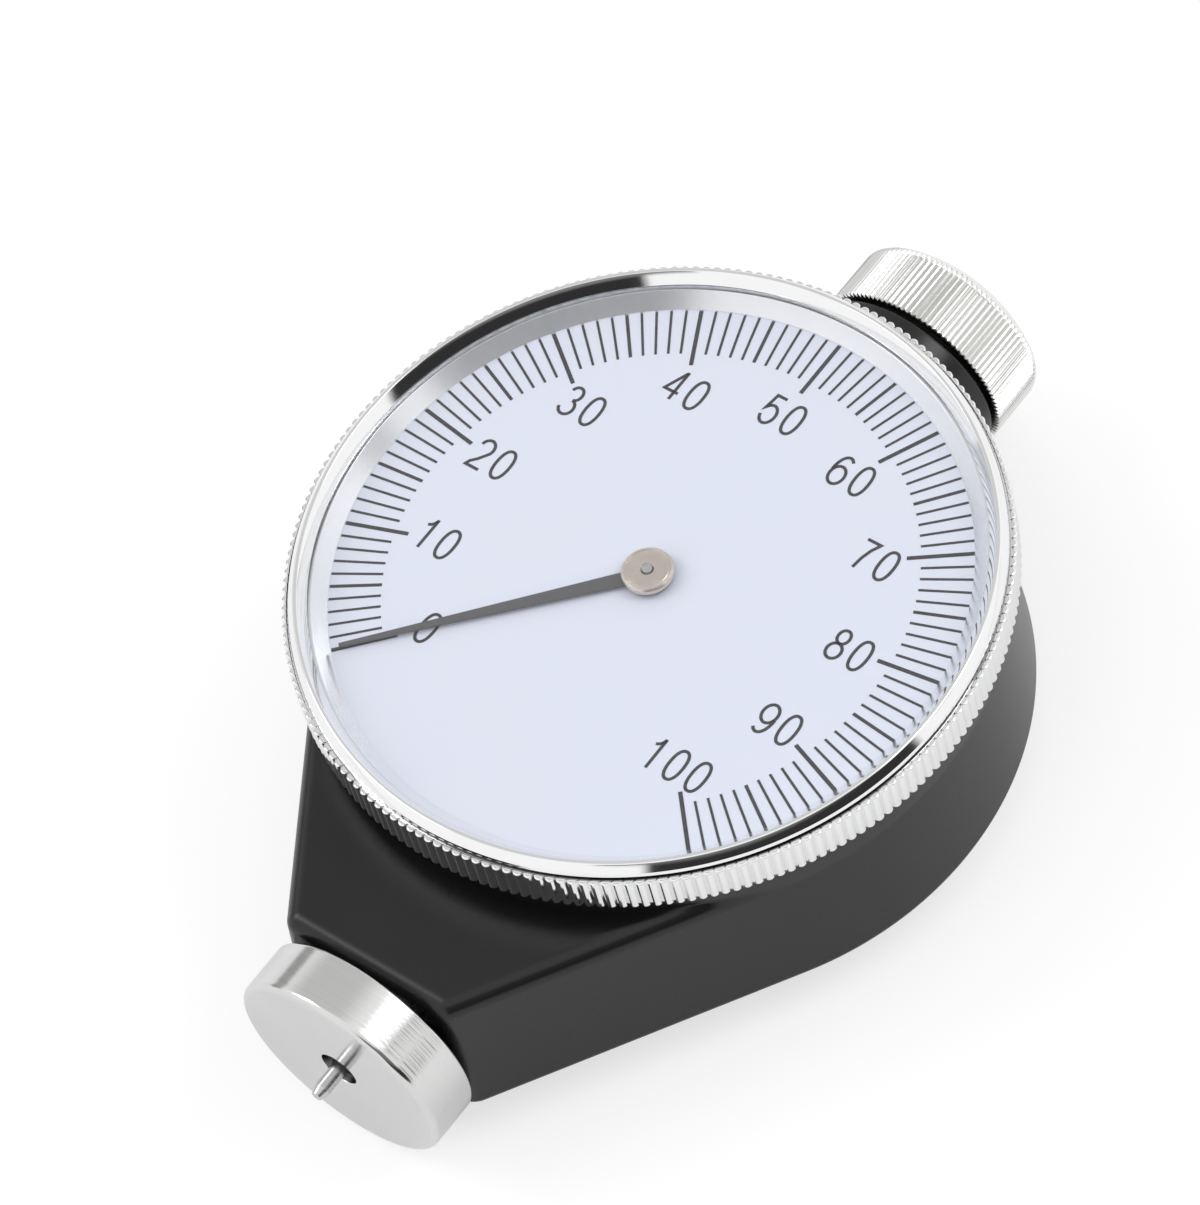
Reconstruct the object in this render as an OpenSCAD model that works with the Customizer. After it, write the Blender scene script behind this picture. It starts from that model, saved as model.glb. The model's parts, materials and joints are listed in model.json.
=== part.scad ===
// Pocket dial durometer lying on its back.
// The dial axis is the Z axis, the presser foot points to -Y and the knob to +Y.
// All sizes are millimetres and angles are degrees.

/* [Case] */
// Setback of the back edge of the case from the knurl of the bezel
case_inset = 0.5; // [0.3:0.1:1]
// How far the case walls lean in from the back edge to the tapered front
case_draft = 0.7; // [0.3:0.1:0.9]
// Rounding of the outer edges of the case
case_edge = 0.8; // [0.4:0.1:1.0]
// Thickness of the wall around the round cavity
case_wall = 2.9; // [2.6:0.1:3.4]
// Distance from the dial axis to the flat end of the nose
nose_len = 35.05; // [33:0.05:37]
// Sideways place of the nose corner centres
nose_corner_x = 6.4; // [5.8:0.1:7]
// Radius of the nose corners
nose_corner_r = 2.0; // [1.8:0.1:2.6]
// Drop from the round rim of the case to the tapered front face
nose_step = 1.85; // [1.2:0.05:2.4]
// Width of the inner ledge that carries the movement
ledge_w = 4.2; // [4:0.1:4.6]
// Thickness of that ledge
ledge_t = 1.2; // [1.1:0.1:1.6]
// Radius of the neck that carries the knob
neck_r = 7.4; // [7:0.1:7.6]
// Length of the neck beyond the round part of the case
neck_len = 3.7; // [3:0.1:4.5]
// Wall of the case rim around the bezel
rim_wall = 0.75; // [0.6:0.05:0.9]

/* [Back cover] */
// Height of the back cover below the case
cover_h = 3.8; // [3.6:0.1:4.6]
// Inset of the cover from the edge of the case
cover_inset = 3.2; // [2.8:0.1:3.4]
// Thickness of the cover floor
cover_floor = 1.6; // [1.2:0.1:2]
// Length of the ring that centres the cover in the case
cover_spigot = 0.9; // [0.6:0.1:1]
// Wall of that ring
cover_spigot_wall = 1.3; // [1:0.1:1.6]
// Number of cover screws
cover_screws = 4; // [3:1:6]

/* [Bezel] */
// Outer radius over the knurl
bezel_r = 26.0; // [25.6:0.1:27]
// Height of the knurled band
knurl_h = 3.2; // [2.6:0.1:3.3]
// Depth of the knurl teeth
knurl_depth = 0.3; // [0.15:0.05:0.4]
// Number of bezel knurl teeth
knurl_teeth = 206; // [120:2:240]
// Thickness of the bezel ledge below the dial
bezel_ledge = 1.2; // [1:0.1:1.6]
// Height of the bezel lip above the lens
lip_rise = 0.2; // [0.1:0.05:0.4]
// Wall of the smooth lip around the lens
lip_wall = 0.85; // [0.7:0.05:1]
// Setback of the lip from the roots of the knurl
lip_setback = 0.5; // [0.4:0.05:0.6]
// Length of the spigot that turns in the case
bezel_spigot = 1.9; // [1.6:0.1:2.1]
// Wall of that spigot
bezel_spigot_wall = 1.15; // [1.05:0.05:1.3]
// Wire radius of the snap ring that holds the bezel
snap_wire_r = 0.26; // [0.2:0.02:0.28]
// Opening of the snap ring
snap_gap = 14; // [8:1:30]

/* [Dial and lens] */
// Thickness of the dial
dial_t = 0.5; // [0.4:0.1:0.8]
// Space between the front plate and the dial
dial_gap = 3.3; // [2.9:0.1:3.8]
// Width of the sloping ring, from the visible edge of the dial to the rim of the lens
ring_w = 1.41; // [1.2:0.01:1.8]
// Width of the shelf that the lens rests on
lens_shelf = 0.35; // [0.2:0.05:0.5]
// Height of the sloping ring between dial and lens
ring_h = 1.2; // [1.15:0.05:1.6]
// Thickness of the lens
lens_t = 1.2; // [1:0.1:1.6]
// Sweep of the scale from 0 to 100
scale_sweep = 272.84; // [260:0.01:280]
// Length of the tens marks
mark_long = 4.8; // [4:0.05:6]
// Length of the other marks
mark_short = 3.8; // [3:0.05:4.5]
// Width of the tens marks
mark_wide = 0.4; // [0.3:0.02:0.5]
// Width of the fives marks
mark_mid = 0.32; // [0.2:0.02:0.4]
// Width of the ones marks
mark_thin = 0.22; // [0.14:0.02:0.3]
// Thickness of the printed marks
mark_t = 0.03; // [0.02:0.01:0.05]

/* [Pointer] */
// Space between the pointer tip and the visible edge of the dial
needle_short = 0.65; // [0.4:0.05:2]
// Needle width at the boss
needle_root_w = 1.2; // [0.8:0.1:1.4]
// Needle width at the tip
needle_tip_w = 0.3; // [0.2:0.05:0.5]
// Needle thickness
needle_t = 0.2; // [0.15:0.05:0.3]
// Space between dial and needle
needle_lift = 0.3; // [0.25:0.05:0.4]
// Radius of the pointer boss
boss_r = 1.9; // [1.6:0.1:2.4]
// Height of the pointer boss above the needle
boss_h = 0.5; // [0.4:0.05:0.55]

/* [Foot and indenter] */
// Radius of the presser foot
foot_r = 8.5; // [8.2:0.05:8.7]
// Thickness of the presser foot
foot_t = 4.2; // [3.6:0.05:5]
// Rounding of the rim of the foot
foot_edge = 0.45; // [0.2:0.05:0.8]
// Radius of the hole in the foot
foot_hole_r = 1.5; // [1.4:0.05:1.6]
// Radius of the threaded spigot of the foot
foot_spigot_r = 4.2; // [4:0.1:4.5]
// Length of that spigot
foot_spigot = 4.2; // [3:0.1:5]
// Radius of the indenter pin
pin_r = 0.6; // [0.55:0.01:0.7]
// Radius of the flat at the tip of the indenter
pin_tip_r = 0.395; // [0.39:0.005:0.4]
// Cone angle of the indenter tip
pin_cone = 35; // [34.75:0.25:35.25]
// How far the indenter stands out of the foot, which is also its travel
pin_out = 2.5; // [2.4:0.02:2.6]
// Length of the indenter held in the spindle
pin_held = 6; // [4:0.5:8]

/* [Spindle] */
// Radius of the spindle
spindle_r = 2.0; // [1.9:0.05:2.1]
// Height of the spindle axis above the rear plate
axis_lift = 2.9; // [2.9:0.05:3.2]
// Step down of the spindle at the spring cup
spindle_step = 0.6; // [0.5:0.05:0.7]
// Radius of the stop shoulder
shoulder_r = 2.7; // [2.5:0.05:2.8]
// Length of the stop shoulder
shoulder_len = 2.0; // [1.5:0.1:3]
// Radius of the anti-turn pin
key_r = 0.6; // [0.5:0.05:0.7]
// Radius of the set screw that holds the indenter
set_screw_r = 0.6; // [0.5:0.05:0.7]
// Place of the anti-turn pin
key_y = -14; // [-15:0.5:-13]
// Wall of the lower guide bush
bush_wall = 1.2; // [1:0.1:1.4]
// Flange width of the lower guide bush
bush_flange = 0.6; // [0.5:0.05:0.6]
// Flange thickness of the lower guide bush
bush_flange_t = 1.2; // [1:0.1:1.5]
// Start of the upper guide block
guide_y = 4.6; // [4.4:0.1:5.2]
// Length of the upper guide block
guide_len = 3.5; // [3:0.1:4]
// Width of the upper guide block
guide_w = 9.4; // [9:0.1:10]

/* [Main spring] */
// Wire diameter
spring_wire = 0.75; // [0.6:0.05:0.8]
// Mean coil diameter
spring_d = 6.4; // [6.2:0.05:6.5]
// Number of turns, closed ends included
spring_turns = 6; // [5:0.5:7]
// Radius of the spring cup
cup_r = 3.5; // [3.3:0.05:3.6]
// Flange thickness of the spring cup
cup_t = 0.9; // [0.7:0.1:1.2]
// Length of the cup hub inside the spring
cup_hub = 1.6; // [1.2:0.1:2]
// Length of the threaded adjuster
adjuster_len = 4; // [3:0.1:5]
// How far the adjuster stands into the cavity
adjuster_in = 0.5; // [0.3:0.1:0.9]

/* [Knob] */
// Radius over the knurl of the knob
knob_r = 7.7; // [7.5:0.05:8.2]
// Length of the knurled band
knob_band = 4.8; // [4.2:0.1:6]
// Height of the domed end
knob_dome = 1.95; // [1.5:0.05:2.4]
// Number of knob knurl teeth
knob_teeth = 72; // [48:2:90]
// Depth of the knob knurl
knob_knurl = 0.35; // [0.2:0.05:0.45]
// Outer radius of the threaded stem
stem_r = 4.5; // [4.4:0.05:4.6]
// Inner radius of the threaded stem
stem_bore = 3.65; // [3.6:0.05:3.75]
// Radius of the stem flange
stem_flange_r = 6.2; // [5.9:0.1:6.4]
// Thickness of the stem flange
stem_flange_t = 0.8; // [0.6:0.1:1]
// Length of the stem thread beyond its flange
stem_out = 3.4; // [3:0.1:3.6]

/* [Gear train] */
// Module of all teeth
gear_m = 0.25; // [0.24:0.005:0.26]
// Pressure angle of all teeth
gear_pressure = 25; // [24:0.5:28]
// Teeth of the pinion that runs on the rack
rack_pinion_teeth = 12; // [12:1:14]
// Teeth of the large gear
wheel_teeth = 40; // [38:2:44]
// Teeth of the pinion on the pointer arbor
center_teeth = 14; // [13:1:16]
// Thickness taken from each tooth for play
tooth_play = 0.035; // [0.02:0.005:0.05]
// Thickness of the large gear
wheel_t = 0.8; // [0.6:0.1:1]
// Depth of the rack pitch line below the spindle surface
rack_depth = 0.4; // [0.35:0.01:0.45]
// Number of rack gaps
rack_gaps = 10; // [9:1:12]
// Rack gaps ahead of the pinion at rest
rack_ahead = 3; // [3:1:4]
// Radius of the arbors
arbor_r = 0.6; // [0.5:0.05:0.7]
// Radius of the pointer arbor's end, which needle and boss are pressed on
arbor_end_r = 0.38; // [0.3:0.02:0.44]

/* [Movement frame] */
// Thickness of both plates
plate_t = 0.9; // [0.8:0.1:1.2]
// Space between the front plate and the case
front_plate_gap = 2.1; // [1.6:0.1:3]
// Radius of the plate pillars
pillar_r = 1.5; // [1.3:0.1:2]
// Setback of the pillars from the edge of the front plate
pillar_inset = 3.5; // [3:0.1:4.5]
// Angle of the pillars from the line across the case
pillar_angle = 40; // [36:1:46]
// Depth of the plate screws in the pillars
pillar_thread = 2.4; // [2:0.1:3]
// Thickness of the bridge that carries the pointer arbor
bridge_t = 0.8; // [0.7:0.1:1]
// Half the span of the bridge between its screws
bridge_half = 7.0; // [6.8:0.1:8]
// Width of the bridge
bridge_w = 5.4; // [5:0.1:6]
// Space between bridge and gears
gear_gap = 0.3; // [0.25:0.05:0.5]
// Space on each side of the hairspring
hair_gap = 0.5; // [0.4:0.05:0.7]
// Height of the hairspring strip
hair_h = 0.4; // [0.3:0.05:0.5]
// Thickness of the hairspring strip
hair_t = 0.12; // [0.08:0.02:0.16]
// Turns of the hairspring
hair_turns = 4; // [3:0.5:5]
// Outer radius of the hairspring
hair_r = 5.0; // [4.4:0.1:5.4]
// Thread radius of the small screws
screw_r = 0.7; // [0.6:0.05:0.8]
// Head radius of the small screws
screw_head_r = 1.3; // [1.2:0.05:1.4]
// Head height of the small screws
screw_head_h = 0.8; // [0.6:0.1:1]

/* [Hidden] */
$fn = 96;

// Clearances
run_play = 0.05;      // turning or sliding fit, on the radius
fit_play = 0.02;      // pressed or threaded fit, on the radius
free_gap = 0.3;       // air between pieces that pass each other
touch_gap = 0.1;      // air at a stop or a turning face
over = 0.5;           // how far a cutter runs past the face that it cuts
coil_gap = 0.008;     // air between closed coils of the main spring

// Heights, from the table up
seat_z = cover_h + ledge_t;
rear_top = seat_z + plate_t;
axis_z = rear_top + axis_lift;
bridge_z = axis_z + spindle_r + 2 * free_gap;
wheel_z = bridge_z + bridge_t + gear_gap;
hair_z = wheel_z + wheel_t + hair_gap;
front_z = hair_z + hair_h + hair_gap;
front_top = front_z + plate_t;
dial_z = front_top + dial_gap;
dial_top = dial_z + dial_t;
bezel_z = dial_z - bezel_ledge;
case_front = bezel_z - 1.5 * touch_gap;
nose_front = case_front - nose_step;
lens_z = dial_top + ring_h;
lens_top = lens_z + lens_t;
bezel_top = lens_top + lip_rise;
needle_z = dial_top + needle_lift;
boss_top = needle_z + needle_t + boss_h;

// Radii about the dial axis
case_r = bezel_r - case_inset;
collar_r = case_r - case_draft;
cavity_r = case_r - case_wall;
ledge_r = cavity_r - ledge_w;
cover_r = case_r - cover_inset;
bolt_r = ledge_r + 2 * screw_r;
lens_r = bezel_r - knurl_depth - lip_setback - lip_wall;
dial_view_r = lens_r - ring_w;
needle_tip_r = dial_view_r - needle_short;
front_plate_r = cavity_r - front_plate_gap;
pillar_x = (front_plate_r - pillar_inset) * cos(pillar_angle);
pillar_y = (front_plate_r - pillar_inset) * sin(pillar_angle);
spigot_seat_r = collar_r - rim_wall;
spigot_r = spigot_seat_r - run_play;
spigot_in_r = spigot_r - bezel_spigot_wall;
spigot_seat_z = bezel_z - bezel_spigot - 1.5 * touch_gap;
snap_z = bezel_z - bezel_spigot / 2;
snap_half = snap_wire_r + run_play;

// Places along the spindle, from the dial axis
foot_face = -nose_len - foot_t;
neck_end = case_r + neck_len;
spindle_front = -nose_len - free_gap;
spigot_end = -nose_len + foot_spigot;
bush_seat = -cavity_r - bush_flange_t + free_gap;
bush_in = bush_seat + bush_flange_t;
shoulder_y = bush_in + touch_gap;
bush_r = spindle_r + run_play + bush_wall;
guide_end = guide_y + guide_len;
cup_y = guide_end + 2 * free_gap;
spring_y0 = cup_y + cup_t;
cup_hub_r = (spring_d - spring_wire) / 2 - free_gap / 2;
cup_bore = spindle_r - spindle_step;
stem_in = cavity_r + free_gap;
spring_y1 = stem_in - adjuster_in;
knob_y = neck_end + free_gap;
knob_rim = knob_y + knob_band;
knob_recess = stem_flange_t + free_gap;

// Gear centres and phases
rack_x = -(spindle_r - rack_depth);
rack_pinion_r = gear_m * rack_pinion_teeth / 2;
mesh_distance = gear_m * (wheel_teeth + center_teeth) / 2;
gear_x = rack_x - rack_pinion_r;
gear_y = -sqrt(mesh_distance * mesh_distance - gear_x * gear_x);
mesh_angle = atan2(-gear_y, -gear_x);
tooth_add = gear_m;
tooth_ded = 1.25 * gear_m;
rack_pitch = PI * gear_m;

// Angle of the zero mark, counted from +X
zero_angle = 90 + scale_sweep / 2;

// Stand something on the spindle axis, its own Z turned to +Y
module along_y(y = 0) {
    translate([0, y, axis_z]) rotate([-90, 0, 0]) children();
}

// A cylinder on the spindle axis between two places
module rod_y(r, y0, y1) {
    along_y(y0) cylinder(r = r, h = y1 - y0);
}

// A ring or disc about the dial axis between two heights
module drum(r, z0, z1) {
    translate([0, 0, z0]) cylinder(r = r, h = z1 - z0);
}

// Copies at equal angles on a circle
module around(count, r, start = 0) {
    for (i = [0:count - 1]) rotate([0, 0, start + i * 360 / count]) translate([r, 0, 0]) children();
}

// The four plate corners
module at_corners(x, y) {
    for (sx = [-1, 1], sy = [-1, 1]) translate([sx * x, sy * y, 0]) children();
}

// A slotted cheese-head screw, head up, with the underside of its head at z = 0
module slotted_screw(thread, length, head, height) {
    difference() {
        union() {
            cylinder(r = head, h = height, $fn = 32);
            translate([0, 0, -length]) cylinder(r = thread, h = length + height / 2, $fn = 32);
        }
        translate([-head - over, -head / 7, height * 0.55]) cube([2 * (head + over), head / 3.5, height]);
    }
}

// Straight knurl: a ring of pointed teeth
module knurl_outline(r, depth, teeth) {
    step = 180 / teeth;
    polygon([for (i = [0:2 * teeth - 1]) (r - (i % 2) * depth) * [cos(i * step), sin(i * step)]]);
}

// Half section of a disc between two heights, with both rims bevelled
module bevelled_half(r, low, high, bevel) {
    polygon([[0, low], [r - bevel, low], [r, low + bevel], [r, high - bevel], [r - bevel, high], [0, high]]);
}

// Knurled band between two heights: a ring of teeth on a plain core with bevelled rims
module knurled_band(r, depth, teeth, low, high) {
    bevel = 1.2 * depth;
    inset = 0.8 * bevel;
    rotate_extrude() bevelled_half(r - depth - fit_play, low, high, bevel);
    translate([0, 0, low + inset]) linear_extrude(high - low - 2 * inset) knurl_outline(r, depth, teeth);
}

// Angle of an involute, in degrees
function involute(a) = tan(a) * 180 / PI - a;

// Half the angle of a tooth at radius r
function tooth_half(teeth, r) =
    let (rp = gear_m * teeth / 2)
    90 / teeth - tooth_play / rp * 90 / PI + involute(gear_pressure)
        - involute(acos(min(1, rp * cos(gear_pressure) / r)));

// Outline of a spur gear with a tooth centred on +X
function gear_outline(teeth) =
    let (rp = gear_m * teeth / 2,
         root = rp - tooth_ded,
         start = max(root, rp * cos(gear_pressure)),
         tip = rp + tooth_add,
         steps = 4,
         radii = [for (k = [0:steps]) start + (tip - start) * k / steps],
         flank = concat(root < start ? [[root, tooth_half(teeth, start)]] : [],
             [for (r = radii) [r, tooth_half(teeth, r)]]),
         last = len(flank) - 1)
    [for (i = [0:teeth - 1], side = [-1, 1], k = [0:last])
        let (p = flank[side < 0 ? k : last - k], a = i * 360 / teeth + side * p[1])
        p[0] * [cos(a), sin(a)]];

// One rack gap, cut into the spindle from -X, centred on the origin
module rack_gap() {
    slope = tan(gear_pressure);
    mid = PI * gear_m / 4 + tooth_play / 2;
    wide = mid + (tooth_add + over) * slope;
    narrow = mid - tooth_ded * slope;
    translate([rack_x, 0, axis_z - spindle_r - over]) linear_extrude(2 * (spindle_r + over))
        polygon([[-tooth_add - over, -wide], [tooth_ded, -narrow],
            [tooth_ded, narrow], [-tooth_add - over, wide]]);
}

// A drafted puck with rounded edges, the corner shape of the case
module case_puck(r) {
    e = case_edge;
    rotate_extrude() polygon(concat(
        [[0, cover_h]],
        [for (a = [-90:22.5:0]) [r - e + e * cos(a), cover_h + e + e * sin(a)]],
        [for (a = [0:22.5:90]) [r - case_draft - e + e * cos(a), nose_front - e + e * sin(a)]],
        [[0, nose_front]]));
}

module housing() {
    color([0.16, 0.16, 0.17]) difference() {
        union() {
            hull() {
                case_puck(case_r);
                for (s = [-1, 1]) translate([s * nose_corner_x, -nose_len + nose_corner_r, 0])
                    case_puck(nose_corner_r, $fn = 32);
            }
            drum(collar_r, nose_front - case_edge, case_front);
            rod_y(neck_r, cavity_r + 2 * over, neck_end);
        }
        drum(cavity_r, seat_z, case_front + over);
        drum(ledge_r, cover_h - over, seat_z + over);
        drum(spigot_seat_r, spigot_seat_z, case_front + over);
        translate([0, 0, snap_z]) rotate_extrude()
            translate([spigot_seat_r - over, -snap_half]) square([over + snap_half, 2 * snap_half]);
        rod_y(foot_spigot_r + fit_play, -nose_len - over, spigot_end + free_gap);
        rod_y(bush_r + fit_play, -nose_len, -cavity_r + over);
        rod_y(bush_r + bush_flange + fit_play, bush_seat, -cavity_r + 2 * over);
        rod_y(stem_r + fit_play, cavity_r - 2 * over, neck_end + over);
        around(cover_screws, bolt_r) translate([0, 0, cover_h - over]) cylinder(r = screw_r, h = ledge_t);
        movement_screw_places() translate([0, 0, cover_h + free_gap]) cylinder(r = screw_r, h = ledge_t);
    }
}

module movement_screw_places() {
    for (a = [20, 160, 200, 340]) rotate([0, 0, a]) translate([bolt_r, 0, 0]) children();
}

module back_cover() {
    e = case_edge;
    color([0.2, 0.2, 0.21]) difference() {
        rotate_extrude() polygon(concat(
            [[0, 0]],
            [for (a = [-90:15:0]) [cover_r - e + e * cos(a), e + e * sin(a)]],
            [[cover_r, cover_h],
             [ledge_r - touch_gap, cover_h],
             [ledge_r - touch_gap, cover_h + cover_spigot],
             [ledge_r - touch_gap - cover_spigot_wall, cover_h + cover_spigot],
             [ledge_r - touch_gap - cover_spigot_wall, cover_floor],
             [0, cover_floor]]));
        around(cover_screws, bolt_r) {
            translate([0, 0, -over]) cylinder(r = screw_r + touch_gap, h = cover_h + 2 * over);
            translate([0, 0, -over]) cylinder(r = screw_head_r + touch_gap, h = over + 1.5 * screw_head_h);
        }
    }
}

module back_cover_screws() {
    color([0.72, 0.72, 0.74]) around(cover_screws, bolt_r)
        translate([0, 0, 1.5 * screw_head_h]) rotate([180, 0, 0])
            slotted_screw(screw_r - fit_play, cover_h + ledge_t - 1.5 * screw_head_h - 2 * free_gap,
                screw_head_r, screw_head_h);
}

module bezel() {
    lip_r = lens_r + lip_wall;
    bore = lens_r + fit_play;
    lip_round = lip_wall / 2;
    groove_in = spigot_r - snap_wire_r - 2 * run_play;
    color([0.85, 0.85, 0.86]) difference() {
        union() {
            knurled_band(bezel_r, knurl_depth, knurl_teeth, bezel_z, bezel_z + knurl_h);
            rotate_extrude() polygon(concat(
                [[0, bezel_z - bezel_spigot], [spigot_r, bezel_z - bezel_spigot],
                 [spigot_r, bezel_z + over], [lip_r, bezel_z + over]],
                [for (a = [0:15:165])
                    [lip_r - lip_round, bezel_top - lip_round] + lip_round * [cos(a), sin(a)]],
                [[0, bezel_top - lip_round]]));
        }
        drum(bore, dial_z, bezel_top + over);
        drum(spigot_in_r, bezel_z - bezel_spigot - over, dial_z + over);
        translate([0, 0, snap_z]) rotate_extrude()
            translate([groove_in, -snap_half]) square([spigot_r - groove_in + over, 2 * snap_half]);
    }
}

module bezel_snap_ring() {
    color([0.6, 0.6, 0.62]) translate([0, 0, snap_z]) rotate([0, 0, 90 + snap_gap / 2])
        rotate_extrude(angle = 360 - snap_gap) translate([spigot_seat_r, 0])
            circle(r = snap_wire_r, $fn = 24);
}

module lens() {
    color([0.9, 0.95, 1, 0.35]) drum(lens_r, lens_z, lens_top);
}

// Sloping ring that clamps the dial and carries the lens
module lens_ring() {
    seat = lens_r - lens_shelf;
    foot = 0.1;
    color([0.85, 0.85, 0.86]) rotate_extrude() polygon([[dial_view_r, dial_top], [lens_r, dial_top],
        [lens_r, lens_z], [seat, lens_z], [dial_view_r, dial_top + foot]]);
}

module dial() {
    color([0.88, 0.9, 0.95]) difference() {
        drum(lens_r, dial_z, dial_top);
        drum(arbor_r + free_gap, dial_z - over, dial_top + over);
    }
}

module dial_scale() {
    outer = dial_view_r - touch_gap;
    color([0.3, 0.3, 0.32]) for (i = [0:100]) {
        inner = dial_view_r - (i % 10 == 0 ? mark_long : mark_short);
        wide = i % 10 == 0 ? mark_wide : i % 5 == 0 ? mark_mid : mark_thin;
        rotate([0, 0, zero_angle - scale_sweep * i / 100])
            translate([inner, -wide / 2, dial_top]) cube([outer - inner, wide, mark_t]);
    }
}

module pointer_needle() {
    color([0.2, 0.2, 0.21]) difference() {
        union() {
            drum(boss_r - touch_gap, needle_z, needle_z + needle_t);
            rotate([0, 0, zero_angle]) translate([0, 0, needle_z]) linear_extrude(needle_t)
                polygon([[0, -needle_root_w / 2], [needle_tip_r, -needle_tip_w / 2],
                    [needle_tip_r, needle_tip_w / 2], [0, needle_root_w / 2]]);
        }
        drum(arbor_end_r + fit_play, needle_z - over, needle_z + needle_t + over);
    }
}

module pointer_boss() {
    bevel = boss_h / 3;
    base = needle_z + needle_t;
    color([0.75, 0.7, 0.65]) rotate_extrude() polygon([[arbor_end_r + fit_play, base], [boss_r, base],
        [boss_r, boss_top - bevel], [boss_r - bevel, boss_top], [arbor_end_r + fit_play, boss_top]]);
}

// Pointer arbor with its pinion, from the bridge up through the dial
module pointer_arbor() {
    pinion_z = wheel_z - gear_gap / 2;
    pinion_h = wheel_t + gear_gap;
    color([0.7, 0.7, 0.72]) {
        drum(arbor_r, bridge_z, needle_z);
        drum(arbor_end_r, bridge_z, boss_top + touch_gap / 2);
        rotate([0, 0, mesh_angle + 180 + 180 / center_teeth]) translate([0, 0, pinion_z])
            linear_extrude(pinion_h) polygon(gear_outline(center_teeth));
    }
}

module hairspring_collet() {
    color([0.78, 0.62, 0.3]) difference() {
        drum(2 * arbor_r, hair_z - touch_gap, hair_z + hair_h + touch_gap);
        drum(arbor_r + fit_play, hair_z - over, hair_z + hair_h + over);
    }
}

// Flat spiral strip from the collet to the stud
module hairspring() {
    step = 12;
    first = 2 * arbor_r;
    turn = hair_turns * 360;
    last = floor(turn / step);
    path = [for (i = [0:last]) let (a = i * step, r = first + (hair_r - first) * a / turn) [r, a - turn]];
    color([0.55, 0.6, 0.75]) translate([0, 0, hair_z]) linear_extrude(hair_h) polygon(concat(
        [for (p = path) p[0] * [cos(p[1]), sin(p[1])]],
        [for (i = [last:-1:0]) let (p = path[i]) (p[0] + hair_t) * [cos(p[1]), sin(p[1])]]));
}

// Post under the front plate that holds the outer end of the hairspring
module hairspring_stud() {
    post_r = 0.5;
    color([0.78, 0.62, 0.3]) translate([hair_r + hair_t + post_r, 0, hair_z - touch_gap])
        cylinder(r = post_r, h = front_z - hair_z + touch_gap, $fn = 32);
}

// Arbor with the pinion that runs on the rack
module gear_arbor() {
    color([0.7, 0.7, 0.72]) translate([gear_x, gear_y, 0]) {
        drum(arbor_r, seat_z + touch_gap, front_top - touch_gap);
        translate([0, 0, axis_z - 0.75 * spindle_r]) linear_extrude(1.5 * spindle_r)
            polygon(gear_outline(rack_pinion_teeth));
    }
}

module gear_wheel() {
    spoke_in = 2.2 * arbor_r;
    rim_in = gear_m * wheel_teeth / 2 - 4 * gear_m;
    hole_r = (rim_in - spoke_in) / 2;
    color([0.82, 0.66, 0.33]) translate([gear_x, gear_y, wheel_z]) rotate([0, 0, mesh_angle]) difference() {
        linear_extrude(wheel_t) polygon(gear_outline(wheel_teeth));
        translate([0, 0, -over]) cylinder(r = arbor_r + fit_play, h = wheel_t + 2 * over);
        around(5, (rim_in + spoke_in) / 2) translate([0, 0, -over])
            cylinder(r = 0.8 * hole_r, h = wheel_t + 2 * over);
    }
}

module front_plate() {
    window_r = 3.4;
    color([0.82, 0.68, 0.36]) difference() {
        drum(front_plate_r, front_z, front_top);
        drum(arbor_r + run_play, front_z - over, front_top + over);
        translate([gear_x, gear_y, 0]) drum(arbor_r + run_play, front_z - over, front_top + over);
        at_corners(pillar_x, pillar_y) drum(screw_r + touch_gap, front_z - over, front_top + over);
        for (s = [-1, 1]) translate([s * pillar_x, 0, 0]) drum(window_r, front_z - over, front_top + over);
        movement_screw_places() drum(screw_head_r + free_gap, front_z - over, front_top + over);
    }
}

module rear_plate() {
    notch = 2 * (cup_r + free_gap);
    slot = 2 * (key_r + run_play);
    color([0.82, 0.68, 0.36]) difference() {
        drum(cavity_r - free_gap, seat_z, rear_top);
        translate([-notch / 2, guide_end + free_gap / 2, seat_z - over])
            cube([notch, cavity_r, plate_t + 2 * over]);
        translate([gear_x, gear_y, 0]) drum(arbor_r + run_play, seat_z - over, rear_top + over);
        at_corners(pillar_x, pillar_y) drum(pillar_r / 2 + fit_play, seat_z - over, rear_top + over);
        movement_screw_places() drum(screw_r + touch_gap, seat_z - over, rear_top + over);
        for (y = [key_y - free_gap, key_y + pin_out + free_gap])
            translate([0, y, 0]) drum(slot / 2, seat_z - over, rear_top + over);
        translate([-slot / 2, key_y - free_gap, seat_z - over])
            cube([slot, pin_out + 2 * free_gap, plate_t + 2 * over]);
        bridge_screw_places() drum(screw_r, seat_z - over, rear_top + over);
        guide_screw_places() drum(screw_r, seat_z - over, rear_top + over);
    }
}

module plate_pillars() {
    color([0.8, 0.64, 0.32]) at_corners(pillar_x, pillar_y) difference() {
        union() {
            drum(pillar_r, rear_top, front_z);
            drum(pillar_r / 2, seat_z, rear_top + over);
        }
        drum(screw_r, front_z - pillar_thread - 2 * free_gap, front_z + over);
    }
}

module plate_screws() {
    color([0.45, 0.5, 0.62]) at_corners(pillar_x, pillar_y) translate([0, 0, front_top])
        slotted_screw(screw_r - fit_play, plate_t + pillar_thread, screw_head_r, screw_head_h);
}

module movement_screws() {
    color([0.72, 0.72, 0.74]) movement_screw_places() translate([0, 0, rear_top])
        slotted_screw(screw_r - fit_play, plate_t + ledge_t - 2 * free_gap, screw_head_r, screw_head_h);
}

module bridge_screw_places() {
    for (s = [-1, 1]) translate([s * bridge_half, 0, 0]) children();
}

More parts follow.
